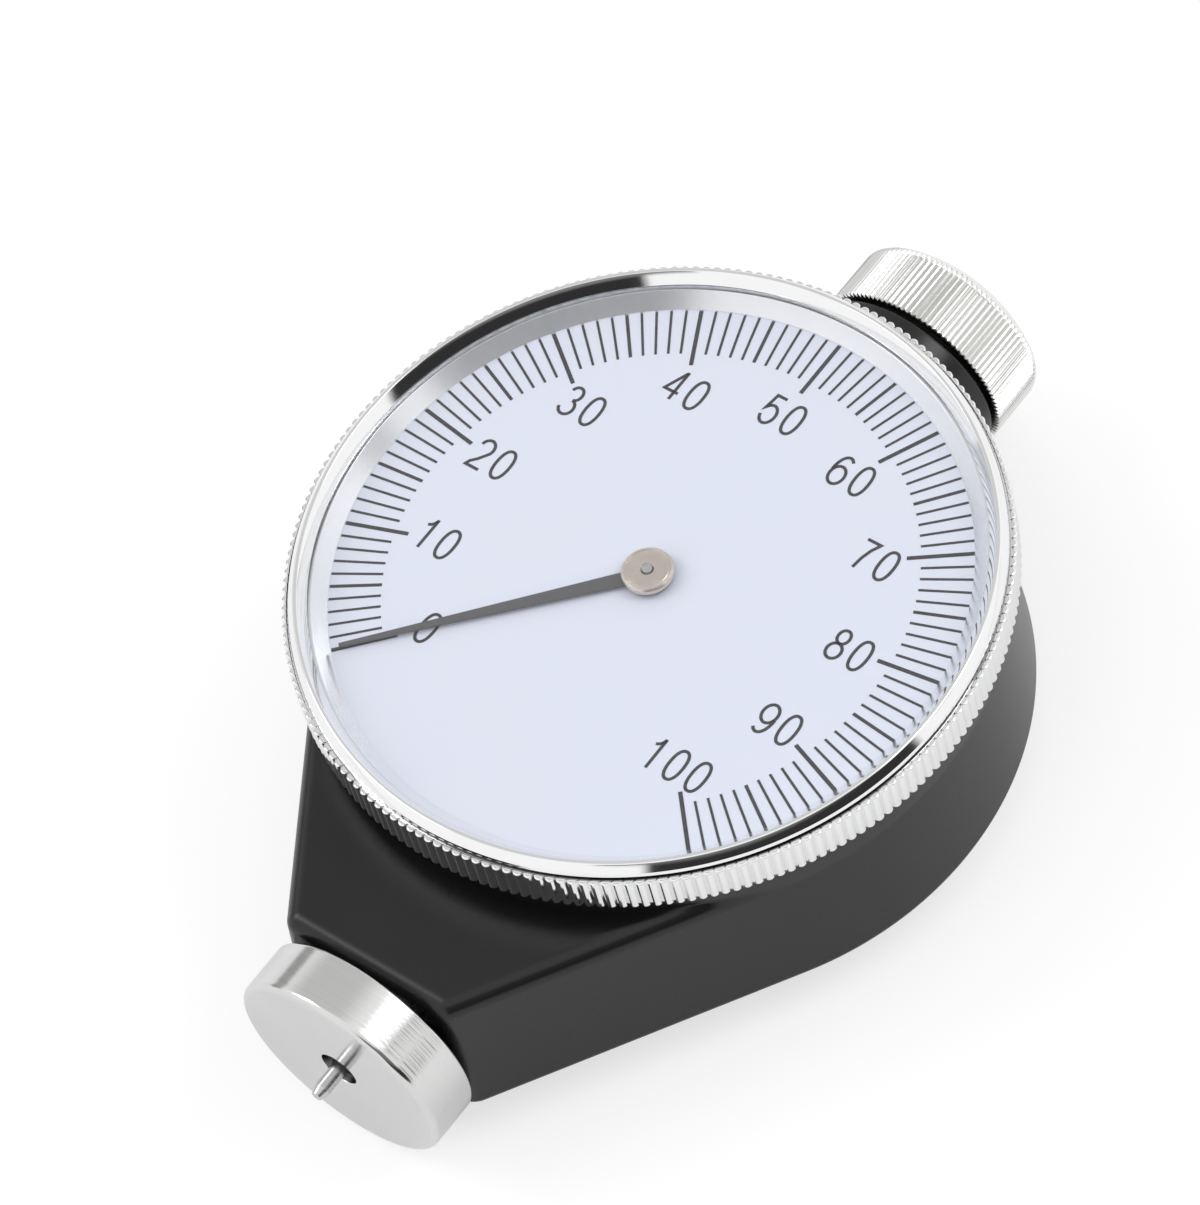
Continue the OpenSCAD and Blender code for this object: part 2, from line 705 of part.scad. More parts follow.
// Bridge over the spindle, with the lower bearing of the pointer arbor
module arbor_bridge() {
    leg = 2 * screw_head_r;
    color([0.82, 0.68, 0.36]) difference() {
        union() {
            translate([-bridge_half - leg / 2, -bridge_w / 2, bridge_z])
                cube([2 * bridge_half + leg, bridge_w, bridge_t]);
            bridge_screw_places() translate([-leg / 2, -bridge_w / 2, rear_top])
                cube([leg, bridge_w, bridge_z + bridge_t - rear_top]);
        }
        drum(arbor_r + run_play, bridge_z - over, bridge_z + bridge_t + over);
        bridge_screw_places() drum(screw_r + fit_play, rear_top - over, bridge_z + bridge_t + over);
    }
}

module bridge_screws() {
    top = bridge_z + bridge_t;
    color([0.45, 0.5, 0.62]) bridge_screw_places() translate([0, 0, top])
        slotted_screw(screw_r - fit_play, top - seat_z - touch_gap, screw_head_r, screw_head_h);
}

module guide_screw_places() {
    side = guide_w / 2 - screw_head_r - touch_gap;
    for (s = [-1, 1]) translate([s * side, guide_y + guide_len / 2, 0]) children();
}

// Block on the rear plate that guides the upper end of the spindle
module upper_guide() {
    top = axis_z + spindle_r + free_gap * 2;
    color([0.8, 0.64, 0.32]) difference() {
        translate([-guide_w / 2, guide_y, rear_top]) cube([guide_w, guide_len, top - rear_top]);
        rod_y(spindle_r + run_play, guide_y - over, guide_end + over);
        guide_screw_places() drum(screw_r + fit_play, rear_top - over, top + over);
    }
}

module guide_screws() {
    top = axis_z + spindle_r + free_gap * 2;
    color([0.45, 0.5, 0.62]) guide_screw_places() translate([0, 0, top])
        slotted_screw(screw_r - fit_play, top - seat_z - touch_gap, screw_head_r, screw_head_h);
}

// Sliding spindle: bored for the indenter, with a stop shoulder, rack and stepped end
module spindle() {
    rack_y = gear_y + (rack_ahead - rack_gaps) * rack_pitch;
    color([0.75, 0.75, 0.77]) difference() {
        union() {
            rod_y(spindle_r, spindle_front, cup_y);
            rod_y(shoulder_r, shoulder_y, shoulder_y + shoulder_len);
            rod_y(cup_bore - fit_play, cup_y - over, spring_y0 + cup_hub + free_gap);
        }
        rod_y(pin_r + fit_play, spindle_front - over, spindle_front + pin_held);
        for (i = [0:rack_gaps - 1])
            translate([0, rack_y + i * rack_pitch, 0]) rack_gap();
        translate([-spindle_r - over, rack_y - rack_pitch / 2, axis_z - spindle_r])
            cube([over + rack_depth - tooth_add, rack_gaps * rack_pitch, 2 * spindle_r]);
        translate([0, key_y, axis_z - spindle_r - over])
            cylinder(r = key_r + fit_play, h = spindle_r + over);
        translate([0, spindle_front + pin_held / 2, axis_z])
            cylinder(r = set_screw_r, h = spindle_r + over);
    }
}

module indenter() {
    cone = (pin_r - pin_tip_r) / tan(pin_cone / 2);
    tip = foot_face - pin_out;
    color([0.72, 0.72, 0.74]) along_y() rotate_extrude() polygon([[0, tip], [pin_tip_r, tip],
        [pin_r, tip + cone], [pin_r, spindle_front + pin_held], [0, spindle_front + pin_held]]);
}

module indenter_set_screw() {
    color([0.25, 0.25, 0.27]) translate([0, spindle_front + pin_held / 2, axis_z + pin_r]) difference() {
        cylinder(r = set_screw_r - fit_play, h = 0.85 * spindle_r - pin_r, $fn = 32);
        translate([-set_screw_r, -set_screw_r / 6, 0.6 * spindle_r - pin_r])
            cube([2 * set_screw_r, set_screw_r / 3, spindle_r]);
    }
}

module spindle_key() {
    color([0.6, 0.6, 0.62]) translate([0, key_y, seat_z])
        cylinder(r = key_r, h = axis_z - seat_z, $fn = 32);
}

module spring_cup() {
    hub_end = spring_y0 + cup_hub;
    color([0.8, 0.64, 0.32]) along_y() rotate_extrude() polygon([[cup_bore, cup_y], [cup_r, cup_y],
        [cup_r, spring_y0], [cup_hub_r, spring_y0], [cup_hub_r, hub_end], [cup_bore, hub_end]]);
}

// Height of the spring wire after a number of turns: one closed turn at each end
function spring_rise(t, h) =
    let (open_turns = spring_turns - 2, open_h = h - 2 * spring_wire)
    t < 1 ? t * spring_wire
    : t > spring_turns - 1 ? h - (spring_turns - t) * spring_wire
    : spring_wire + (t - 1) / open_turns * open_h;

// Compression spring: a round wire swept along a helix
module main_spring() {
    sides = 8;
    per_turn = 20;
    rings = spring_turns * per_turn;
    wire = spring_wire / 2 - coil_gap;
    h = spring_y1 - spring_y0 - spring_wire - 2 * coil_gap;
    points = [for (i = [0:rings], k = [0:sides - 1])
        let (a = i * 360 / per_turn, b = k * 360 / sides, r = spring_d / 2 + wire * cos(b))
        [r * cos(a), r * sin(a), spring_rise(i / per_turn, h) + wire * sin(b)]];
    walls = [for (i = [0:rings - 1], k = [0:sides - 1])
        let (n = (k + 1) % sides) [i * sides + k, (i + 1) * sides + k, (i + 1) * sides + n, i * sides + n]];
    ends = [[for (k = [0:sides - 1]) k], [for (k = [sides - 1:-1:0]) rings * sides + k]];
    color([0.6, 0.62, 0.66]) along_y(spring_y0 + spring_wire / 2 + coil_gap)
        polyhedron(points = points, faces = concat(walls, ends), convexity = 8);
}

// Slotted plug that sets the spring force
module spring_adjuster() {
    slot = 1.0;
    y1 = spring_y1 + adjuster_len;
    color([0.8, 0.64, 0.32]) difference() {
        union() {
            rod_y(stem_bore - fit_play, spring_y1, y1);
            rod_y(cup_hub_r, spring_y1 - cup_hub, spring_y1 + over);
        }
        translate([-stem_bore, y1 - slot, axis_z - slot / 2]) cube([2 * stem_bore, slot + over, slot]);
    }
}

module lower_guide_bush() {
    y0 = spigot_end + free_gap + touch_gap;
    in = spindle_r + run_play;
    flange = bush_r + bush_flange;
    color([0.8, 0.64, 0.32]) along_y() rotate_extrude() polygon([[in, y0], [bush_r, y0],
        [bush_r, bush_seat], [flange, bush_seat], [flange, bush_in], [in, bush_in]]);
}

module presser_foot() {
    e = foot_edge;
    rear = 0.25;
    well_r = spindle_r + free_gap;
    well = spindle_front - 3 * free_gap;
    color([0.82, 0.82, 0.83]) along_y() rotate_extrude() polygon(concat(
        [[foot_hole_r, foot_face]],
        [for (a = [-90:15:0]) [foot_r - e + e * cos(a), foot_face + e + e * sin(a)]],
        [[foot_r, -nose_len - rear], [foot_r - rear, -nose_len], [foot_spigot_r, -nose_len],
         [foot_spigot_r, spigot_end], [well_r, spigot_end], [well_r, well], [foot_hole_r, well]]));
}

// Stem that carries the knob outside and the spring adjuster inside
module threaded_stem() {
    flange_end = neck_end + stem_flange_t;
    thread_r = stem_r - run_play;
    color([0.8, 0.64, 0.32]) along_y() rotate_extrude() polygon([[stem_bore, stem_in], [stem_r, stem_in],
        [stem_r, neck_end], [stem_flange_r, neck_end], [stem_flange_r, flange_end],
        [thread_r, flange_end], [thread_r, flange_end + stem_out], [stem_bore, flange_end + stem_out]]);
}

module knob() {
    crown_r = knob_r - 1.5 * knob_knurl;
    dome_r = (crown_r * crown_r + knob_dome * knob_dome) / (2 * knob_dome);
    sweep = asin(crown_r / dome_r);
    steps = 10;
    thread_end = neck_end + stem_flange_t + stem_out + free_gap;
    color([0.85, 0.85, 0.86]) difference() {
        union() {
            along_y() knurled_band(knob_r, knob_knurl, knob_teeth, knob_y, knob_rim);
            along_y() rotate_extrude() polygon(concat(
                [[0, knob_rim - over], [crown_r, knob_rim - over]],
                [for (i = [0:steps]) let (a = sweep * (1 - i / steps))
                    [dome_r * sin(a), knob_rim + knob_dome - dome_r * (1 - cos(a))]]));
        }
        rod_y(stem_flange_r + free_gap, knob_y - over, knob_y + knob_recess);
        rod_y(stem_r, knob_y, thread_end);
    }
}

housing();
back_cover();
back_cover_screws();
bezel();
bezel_snap_ring();
lens();
lens_ring();
dial();
dial_scale();
pointer_needle();
pointer_boss();
pointer_arbor();
hairspring_collet();
hairspring();
hairspring_stud();
gear_arbor();
gear_wheel();
front_plate();
rear_plate();
plate_pillars();
plate_screws();
movement_screws();
arbor_bridge();
bridge_screws();
upper_guide();
guide_screws();
spindle();
indenter();
indenter_set_screw();
spindle_key();
spring_cup();
main_spring();
spring_adjuster();
lower_guide_bush();
presser_foot();
threaded_stem();
knob();
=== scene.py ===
import json
import math

import bmesh
import bpy
from mathutils import Matrix, Vector


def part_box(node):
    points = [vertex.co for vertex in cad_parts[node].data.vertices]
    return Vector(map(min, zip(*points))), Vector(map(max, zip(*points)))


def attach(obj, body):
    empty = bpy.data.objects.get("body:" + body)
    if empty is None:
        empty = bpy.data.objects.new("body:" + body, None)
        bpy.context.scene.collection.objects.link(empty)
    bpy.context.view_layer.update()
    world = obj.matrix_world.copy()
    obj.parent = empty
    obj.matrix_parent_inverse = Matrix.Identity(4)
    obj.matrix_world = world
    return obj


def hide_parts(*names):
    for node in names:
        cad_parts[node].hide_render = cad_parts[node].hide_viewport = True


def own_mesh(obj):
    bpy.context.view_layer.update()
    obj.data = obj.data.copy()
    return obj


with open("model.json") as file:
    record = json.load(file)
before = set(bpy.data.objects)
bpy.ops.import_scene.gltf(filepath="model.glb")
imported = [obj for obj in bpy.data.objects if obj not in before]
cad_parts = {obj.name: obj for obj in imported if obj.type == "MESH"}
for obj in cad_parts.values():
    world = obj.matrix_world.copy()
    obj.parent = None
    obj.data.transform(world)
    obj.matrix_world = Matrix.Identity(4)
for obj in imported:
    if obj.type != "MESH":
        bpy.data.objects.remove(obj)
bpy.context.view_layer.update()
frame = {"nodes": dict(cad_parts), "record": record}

# Case: one moulding in satin black plastic, a drafted round cup that runs out into a tapered nose.
# The neck for the knob is moulded on, and nose and neck are bored through along the spindle.
MM = 0.001
AXIS_Z = 8.8
SHARP = math.radians(32)


class Wire:
    """A socket in a node tree. Sums and products of wires add Math nodes, node() adds any other."""

    def __init__(self, tree, socket=None):
        self.tree = tree
        self.socket = socket

    def feed(self, node, sockets):
        for name, value in sockets.items():
            if isinstance(value, Wire):
                self.tree.links.new(value.socket, node.inputs[name])
            else:
                node.inputs[name].default_value = value

    def node(self, kind, settings=None, sockets=None, out=0):
        made = self.tree.nodes.new(kind)
        for name, value in (settings or {}).items():
            setattr(made, name, value)
        self.feed(made, sockets or {})
        return Wire(self.tree, made.outputs[out])

    def maths(self, operation, first, second):
        return self.node("ShaderNodeMath", {"operation": operation}, {0: first, 1: second})

    def __add__(self, other):
        return self.maths("ADD", self, other)

    def __sub__(self, other):
        return self.maths("SUBTRACT", self, other)

    def __rsub__(self, other):
        return self.maths("SUBTRACT", other, self)

    def __mul__(self, other):
        return self.maths("MULTIPLY", self, other)

    __radd__ = __add__
    __rmul__ = __mul__

    def place(self, scale=(1, 1, 1), centre=(0, 0, 0)):
        """Object coordinates about a centre, stretched along each axis."""
        own = self.node("ShaderNodeTexCoord", out="Object")
        moved = self.node("ShaderNodeMapping", sockets={"Vector": own, "Location": [-c for c in centre]})
        return self.node("ShaderNodeMapping", sockets={"Vector": moved, "Scale": scale})

    def noise(self, place, scale, detail=3):
        return self.node("ShaderNodeTexNoise", sockets={"Vector": place, "Scale": scale, "Detail": detail})

    def blend(self, factor, first, second):
        return self.node("ShaderNodeMix", {"data_type": "RGBA"}, {0: factor, 6: first, 7: second}, 2)

    def bump(self, height, strength, depth):
        return self.node("ShaderNodeBump", sockets={"Strength": strength, "Distance": depth, "Height": height})


def new_finish(name):
    finish = bpy.data.materials.new(name)
    finish.use_nodes = True
    return finish, Wire(finish.node_tree), finish.node_tree.nodes["Principled BSDF"]


def moulded_black():
    finish, wires, shader = new_finish("moulded_black")
    cloud = wires.noise(wires.place(), 70)
    grain = wires.noise(wires.place(), 5200, 2)
    wires.feed(shader, {
        "Base Color": wires.blend(cloud, (0.006, 0.006, 0.0064, 1), (0.011, 0.011, 0.0115, 1)),
        "Roughness": 0.2 + 0.12 * cloud,
        "IOR": 1.46,
        "Normal": wires.bump(grain, 0.2, 0.00001),
    })
    return finish


def rounded(corners, bits=5):
    """Corners of a closed profile as (across, along, rounding), with each rounding drawn as an arc."""
    line = []
    for n, (across, along, rounding) in enumerate(corners):
        here = Vector((across, along))
        if not rounding:
            line.append(here)
            continue
        back = (Vector(corners[n - 1][:2]) - here).normalized()
        on = (Vector(corners[(n + 1) % len(corners)][:2]) - here).normalized()
        half = back.angle(on) / 2
        hub = here + (back + on).normalized() * rounding / math.sin(half)
        first = here + back * rounding / math.tan(half) - hub
        last = here + on * rounding / math.tan(half) - hub
        start = math.atan2(first.y, first.x)
        turn = math.remainder(math.atan2(last.y, last.x) - start, 2 * math.pi)
        for k in range(bits + 1):
            a = start + turn * k / bits
            line.append(hub + rounding * Vector((math.cos(a), math.sin(a))))
    return line


def pick(piece):
    """Make a piece the only one that the next operator works on."""
    bpy.ops.object.select_all(action="DESELECT")
    bpy.context.view_layer.objects.active = piece
    piece.select_set(True)


def coat(piece, finish):
    piece.data.materials.clear()
    piece.data.materials.append(finish)


def tidy_up():
    """Weld the piece that is in edit mode, turn its faces outward and shade it."""
    bpy.ops.mesh.select_all(action="SELECT")
    bpy.ops.mesh.remove_doubles(threshold=1e-6)
    bpy.ops.mesh.normals_make_consistent(inside=False)
    bpy.ops.object.mode_set(mode="OBJECT")
    bpy.ops.object.shade_smooth_by_angle(angle=SHARP)


def lathe(name, line, steps, along="Z"):
    """Turn a profile of (radius, place along the axis) in mm about the dial axis or the spindle axis."""
    bpy.ops.object.select_all(action="DESELECT")
    bpy.ops.mesh.primitive_circle_add(vertices=len(line), radius=MM)
    piece = bpy.context.object
    piece.name = piece.data.name = name
    for vertex, (radius, height) in zip(piece.data.vertices, line):
        vertex.co = Vector((radius, 0, height) if along == "Z" else (radius, height, 0)) * MM
    modifier = piece.modifiers.new("turn", "SCREW")
    modifier.axis = along
    modifier.steps = modifier.render_steps = steps
    modifier.use_merge_vertices = True
    modifier.merge_threshold = 1e-6
    bpy.ops.object.modifier_apply(modifier=modifier.name)
    piece.location.z = 0 if along == "Z" else AXIS_Z * MM
    bpy.ops.object.transform_apply(location=True, rotation=True, scale=True)
    bpy.ops.object.mode_set(mode="EDIT")
    tidy_up()
    return piece


def settle(piece, finish):
    """Keep the flats of a finished piece flat next to its roundings, and give it its material."""
    pick(piece)
    modifier = piece.modifiers.new("flats", "WEIGHTED_NORMAL")
    modifier.keep_sharp = True
    modifier.weight = 100
    bpy.ops.object.modifier_apply(modifier=modifier.name)
    coat(piece, finish)


def combine(piece, tool, operation):
    """Join a tool to a piece or cut it away, and take the tool off."""
    pick(piece)
    modifier = piece.modifiers.new(operation.lower(), "BOOLEAN")
    modifier.operation = operation
    modifier.object = tool
    modifier.solver = "EXACT"
    bpy.ops.object.modifier_apply(modifier=modifier.name)
    bpy.data.objects.remove(tool)
    bpy.ops.object.mode_set(mode="EDIT")
    tidy_up()


ROUND_R, NOSE_R, NOSE_X, NOSE_Y = 25.5, 2.0, 6.4, -33.05
COLLAR_R, EDGE, FRONT_EDGE, DRAFT = 24.8, 0.8, 1.3, 0.7
CASE_LOW, FACE_Z, COLLAR_Z, COLLAR_EDGE = 3.8, 15.7, 17.55, 0.2
COVER_SEAT_R, CUP_R, BEZEL_SEAT_R, CUP_LOW, BEZEL_SEAT_Z = 18.4, 22.6, 24.05, 5, 15.65
flank = math.atan2(NOSE_Y, NOSE_X) + math.acos((ROUND_R - NOSE_R) / math.hypot(NOSE_X, NOSE_Y))
spokes = []


def corner(x, y, radius, first, last, count):
    spokes.extend((x, y, radius, first + (last - first) * k / count) for k in range(count + 1))


def side(start, end, count):
    for k in range(1, count):
        spokes.append(tuple(a + (b - a) * k / count for a, b in zip(start, end)))


corner(0, 0, ROUND_R, flank, math.pi - flank, 168)
side((0, 0, ROUND_R, math.pi - flank), (-NOSE_X, NOSE_Y, NOSE_R, math.pi - flank), 16)
corner(-NOSE_X, NOSE_Y, NOSE_R, math.pi - flank, 1.5 * math.pi, 12)
side((-NOSE_X, NOSE_Y, NOSE_R, 1.5 * math.pi), (NOSE_X, NOSE_Y, NOSE_R, 1.5 * math.pi), 10)
corner(NOSE_X, NOSE_Y, NOSE_R, -math.pi / 2, flank, 12)
side((NOSE_X, NOSE_Y, NOSE_R, flank), (0, 0, ROUND_R, flank), 16)


def outline(inset, height, least=0):
    """The case's plan, drawn in from its edge and kept outside the collar where it is asked for."""
    ring = []
    for x, y, radius, angle in spokes:
        spot = Vector((x, y)) + (radius - inset) * Vector((math.cos(angle), math.sin(angle)))
        if spot.length < least:
            spot = spot.normalized() * least
        ring.append(Vector((spot.x, spot.y, height)) * MM)
    return ring


def circle(radius, height):
    ring = []
    for spot in outline(0, 0):
        spot = spot.normalized() * radius
        ring.append(Vector((spot.x, spot.y, height)) * MM)
    return ring


arc = [math.radians(15 * k) for k in range(7)]
rings = [circle(COVER_SEAT_R, CASE_LOW)]
rings += [outline(EDGE * (1 - math.sin(a)), CASE_LOW + EDGE * (1 - math.cos(a))) for a in arc]
rings += [outline(DRAFT + FRONT_EDGE * (1 - math.cos(a)), FACE_Z - FRONT_EDGE * (1 - math.sin(a)), COLLAR_R)
          for a in arc]
rings += [circle(COLLAR_R, FACE_Z), circle(COLLAR_R, COLLAR_Z - COLLAR_EDGE),
          circle(COLLAR_R - 0.3 * COLLAR_EDGE, COLLAR_Z - 0.3 * COLLAR_EDGE),
          circle(COLLAR_R - COLLAR_EDGE, COLLAR_Z)]
rings += [circle(BEZEL_SEAT_R, COLLAR_Z), circle(BEZEL_SEAT_R, BEZEL_SEAT_Z), circle(CUP_R, BEZEL_SEAT_Z)]
rings += [circle(CUP_R, CUP_LOW), circle(COVER_SEAT_R, CUP_LOW), rings[0]]

bpy.ops.object.select_all(action="DESELECT")
bpy.ops.mesh.primitive_circle_add(vertices=len(spokes), radius=COVER_SEAT_R * MM)
case = bpy.context.object
case.name = case.data.name = "case_moulding"
bpy.ops.object.mode_set(mode="EDIT")
bpy.ops.mesh.select_all(action="SELECT")
edit = bmesh.from_edit_mesh(case.data)
edit.verts.ensure_lookup_table()
spoke = edit.verts.layers.int.new("spoke")
for n, vertex in enumerate(edit.verts):
    vertex[spoke] = n
for n, ring in enumerate(rings):
    if n:
        bpy.ops.mesh.extrude_region_move()
    edit = bmesh.from_edit_mesh(case.data)
    spoke = edit.verts.layers.int["spoke"]
    for vertex in edit.verts:
        if vertex.select:
            vertex.co = ring[vertex[spoke]]
    bmesh.update_edit_mesh(case.data)
tidy_up()
case.data.attributes.remove(case.data.attributes["spoke"])

neck = lathe("neck", rounded([(0, 23.2, 0), (7.4, 23.2, 0), (7.4, 29.2, 0.35), (0, 29.2, 0)]), 160, "Y")
combine(case, neck, "UNION")
foot_bore = lathe("foot_bore", ((0, -36), (4.22, -36), (4.22, -30.55), (3.27, -30.55), (3.27, -23.4),
                                (3.87, -23.4), (3.87, -21), (0, -21)), 96, "Y")
combine(case, foot_bore, "DIFFERENCE")
stem_bore = lathe("stem_bore", ((0, 21), (4.52, 21), (4.52, 30), (0, 30)), 96, "Y")
combine(case, stem_bore, "DIFFERENCE")
black = moulded_black()
settle(case, black)
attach(case, "case")
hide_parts("housing")

# Back cover: a turned-looking disc moulded in the same black plastic, with a spigot in the case.
# Four slotted steel screws sit in counterbores near its edge.
SCREW_RING = 19.8
cover = lathe("back_cover_moulding", rounded([
    (0, 0, 0), (22.3, 0, 0.8), (22.3, 3.8, 0.12), (18.3, 3.8, 0), (18.3, 4.7, 0.12), (17, 4.7, 0.12),
    (17, 1.6, 0.2), (0, 1.6, 0)]), 192)
for n in range(4):
    hole = lathe("screw_hole", ((0, -1), (1.45, -1), (1.4, 0.05), (1.4, 1.2), (0.9, 1.2), (0.9, 6), (0, 6)), 48)
    turn = n * math.pi / 2
    hole.location = (SCREW_RING * MM * math.cos(turn), SCREW_RING * MM * math.sin(turn), 0)
    combine(cover, hole, "DIFFERENCE")
settle(cover, black)
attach(cover, "case")
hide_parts("back_cover")

# Works inside the case: brass plates, wheel, bushes and guides, steel arbors and spindle, blued
# screws and spring wire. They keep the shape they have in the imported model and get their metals.


def worked_metal(name, low, high, rough, lines=(1, 1, 1)):
    """A bare metal between two tints, with fine tool lines along the axes that are stretched least."""
    finish, wires, shader = new_finish(name)
    cloud = wires.noise(wires.place(), 120)
    line = wires.noise(wires.place(lines), 900, 4)
    wires.feed(shader, {
        "Base Color": wires.blend(0.6 * line + 0.4 * cloud, (*low, 1), (*high, 1)),
        "Metallic": 1.0,
        "Roughness": rough + 0.12 * line,
        "Normal": wires.bump(line, 0.15, 0.00001),
    })
    return finish


metals = {
    "brass": worked_metal("turned_brass", (0.56, 0.38, 0.13), (0.76, 0.57, 0.26), 0.2, (4, 1, 1)),
    "steel": worked_metal("ground_steel", (0.5, 0.5, 0.51), (0.68, 0.68, 0.69), 0.2, (1, 6, 1)),
    "spring_steel": worked_metal("drawn_wire", (0.36, 0.37, 0.39), (0.54, 0.55, 0.57), 0.24),
    "blued_steel": worked_metal("blued_steel", (0.1, 0.13, 0.26), (0.22, 0.25, 0.36), 0.22),
}
slots = {part["node"]: part["material_slot"] for part in frame["record"]["subparts"]}
for name, node in frame["nodes"].items():
    if slots[name] in metals:
        coat(node, metals[slots[name]])
# The threaded stem is coloured near-black in place of its brass: painted shade for where it shows in the narrow gap
# between neck and knob.
stem_shade_finish = worked_metal("stem_painted_shade", (0.018, 0.016, 0.014), (0.04, 0.034, 0.028), 0.3)
coat(frame["nodes"]["threaded_stem"], stem_shade_finish)

# Main spring: a coil of drawn steel wire with closed ends, between the cup on the spindle and the
# adjuster in the neck.
PRESS, COIL_SHARP = 2.5, math.radians(50)
low, high = (Vector(end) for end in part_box("main_spring"))
bpy.ops.object.select_all(action="DESELECT")
bpy.ops.mesh.primitive_cube_add(size=MM)
coil = bpy.context.object
coil.data = frame["nodes"]["main_spring"].data.copy()
coil.name = coil.data.name = "main_spring_coil"
bpy.ops.object.mode_set(mode="EDIT")
bpy.ops.mesh.select_all(action="SELECT")
bpy.ops.mesh.remove_doubles(threshold=1e-7)
bpy.ops.object.mode_set(mode="OBJECT")
bpy.ops.object.shade_smooth_by_angle(angle=COIL_SHARP)
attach(coil, "case")
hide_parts("main_spring")
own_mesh(coil)

# Indenter: a hardened steel pin, ground to a blunt cone. It is held in the spindle and
# stands out through the hole of the foot.
pin = lathe("indenter_pin", rounded([
    (0, -41.75, 0), (0.395, -41.75, 0.03), (0.6, -41.1, 0.06), (0.6, -29.35, 0.08), (0, -29.35, 0)]), 64, "Y")
settle(pin, metals["steel"])
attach(pin, "plunger")
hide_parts("indenter")

# Presser foot: turned and polished steel, with a flat face, a rounded edge and a fine bevel behind.
# Its spigot is screwed into the nose, and the hole lets the pin through.


def turned_steel():
    finish, wires, shader = new_finish("turned_steel")
    own = wires.place(centre=(0, 0, AXIS_Z * MM))
    rows = wires.noise(wires.place((30, 5200, 30)), 1, 5)
    cloud = wires.noise(own, 160)
    spoke = wires.node("ShaderNodeVectorMath", {"operation": "MULTIPLY"}, {0: own, 1: (1, 0, 1)})
    radius = wires.node("ShaderNodeVectorMath", {"operation": "LENGTH"}, {0: spoke}, "Value")
    circles = wires.node("ShaderNodeTexNoise", {"noise_dimensions": "1D"}, {"W": radius, "Scale": 9000, "Detail": 4})
    facing = wires.node("ShaderNodeSeparateXYZ", sockets={
        "Vector": wires.node("ShaderNodeNewGeometry", out="True Normal")}, out=1)
    flat = wires.node("ShaderNodeMapRange", sockets={"Value": wires.maths("MULTIPLY", facing, facing),
                                                     "From Min": 0.9, "From Max": 0.98})
    marks = circles * flat + rows * (1 - flat)
    wires.feed(shader, {
        "Base Color": wires.blend(0.5 * cloud + 0.5 * marks, (0.64, 0.64, 0.635, 1), (0.8, 0.8, 0.79, 1)),
        "Metallic": 1.0,
        "Roughness": 0.07 + 0.05 * cloud + 0.08 * marks,
        "Normal": wires.bump(marks * (1 - 0.8 * flat), 0.35, 0.00003),
    })
    return finish


foot = lathe("presser_foot_turning", rounded([
    (1.5, -39.25, 0.1), (8.5, -39.25, 0.45), (8.5, -35.05, 0.25), (4.2, -35.05, 0), (4.2, -30.85, 0.1),
    (2.3, -30.85, 0), (2.3, -36.25, 0), (1.5, -36.25, 0)]), 224, "Y")
settle(foot, turned_steel())
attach(foot, "case")
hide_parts("presser_foot")

# Knob: brass, straight knurled and plated in bright nickel, with a domed end.
# It is hollow underneath and screws on the stem in the neck.
TOOTH_SHARP = math.radians(18)


def knurl(piece, teeth, depth, shares, rim, press):
    """Press the spokes between the teeth in: each vertex on the rim goes in by its place in the tooth."""
    bpy.ops.object.mode_set(mode="EDIT")
    edit = bmesh.from_edit_mesh(piece.data)
    for vertex in edit.verts:
        radius, angle, weight = rim(vertex.co)
        if weight <= 0:
            continue
        part = round(angle / (2 * math.pi) * teeth * len(shares)) % len(shares)
        scale = 1 - depth * weight * shares[part] / radius
        press(vertex, scale)
    bmesh.update_edit_mesh(piece.data)
    bpy.ops.mesh.select_all(action="SELECT")
    bpy.ops.mesh.normals_make_consistent(inside=False)
    bpy.ops.object.mode_set(mode="OBJECT")
    bpy.ops.object.shade_smooth_by_angle(angle=TOOTH_SHARP)


def bright_plate(name, tint, rough, groove_shade=None):
    finish, wires, shader = new_finish(name)
    cloud = wires.noise(wires.place(), 210)
    fine = wires.noise(wires.place(), 2600, 4)
    colour = wires.blend(cloud, [0.96 * c for c in tint] + [1], [*tint, 1])
    # Where a groove is given, the colour goes near-black inside it: painted shade in the recess, not a colour of the
    # metal.
    if groove_shade:
        out, up, wide, tall = (size * MM for size in groove_shade)
        spot = wires.place()
        level = wires.node("ShaderNodeVectorMath", {"operation": "MULTIPLY"}, {0: spot, 1: (1, 1, 0)})
        aside = wires.node("ShaderNodeVectorMath", {"operation": "LENGTH"}, {0: level}, "Value") - out
        above = wires.node("ShaderNodeSeparateXYZ", sockets={"Vector": spot}, out=2) - up
        groove_shade_mask = [wires.node("ShaderNodeMapRange", sockets={
            "Value": wires.node("ShaderNodeMath", {"operation": "ABSOLUTE"}, {0: part}),
            "From Min": reach, "From Max": 0.7 * reach}) for part, reach in ((aside, wide), (above, tall))]
        colour = wires.blend(groove_shade_mask[0] * groove_shade_mask[1], colour, (0.06, 0.058, 0.054, 1))
    wires.feed(shader, {
        "Base Color": colour,
        "Metallic": 1.0,
        "Roughness": rough + 0.05 * cloud + 0.03 * fine,
        "Normal": wires.bump(fine, 0.06, 0.00001),
    })
    return finish


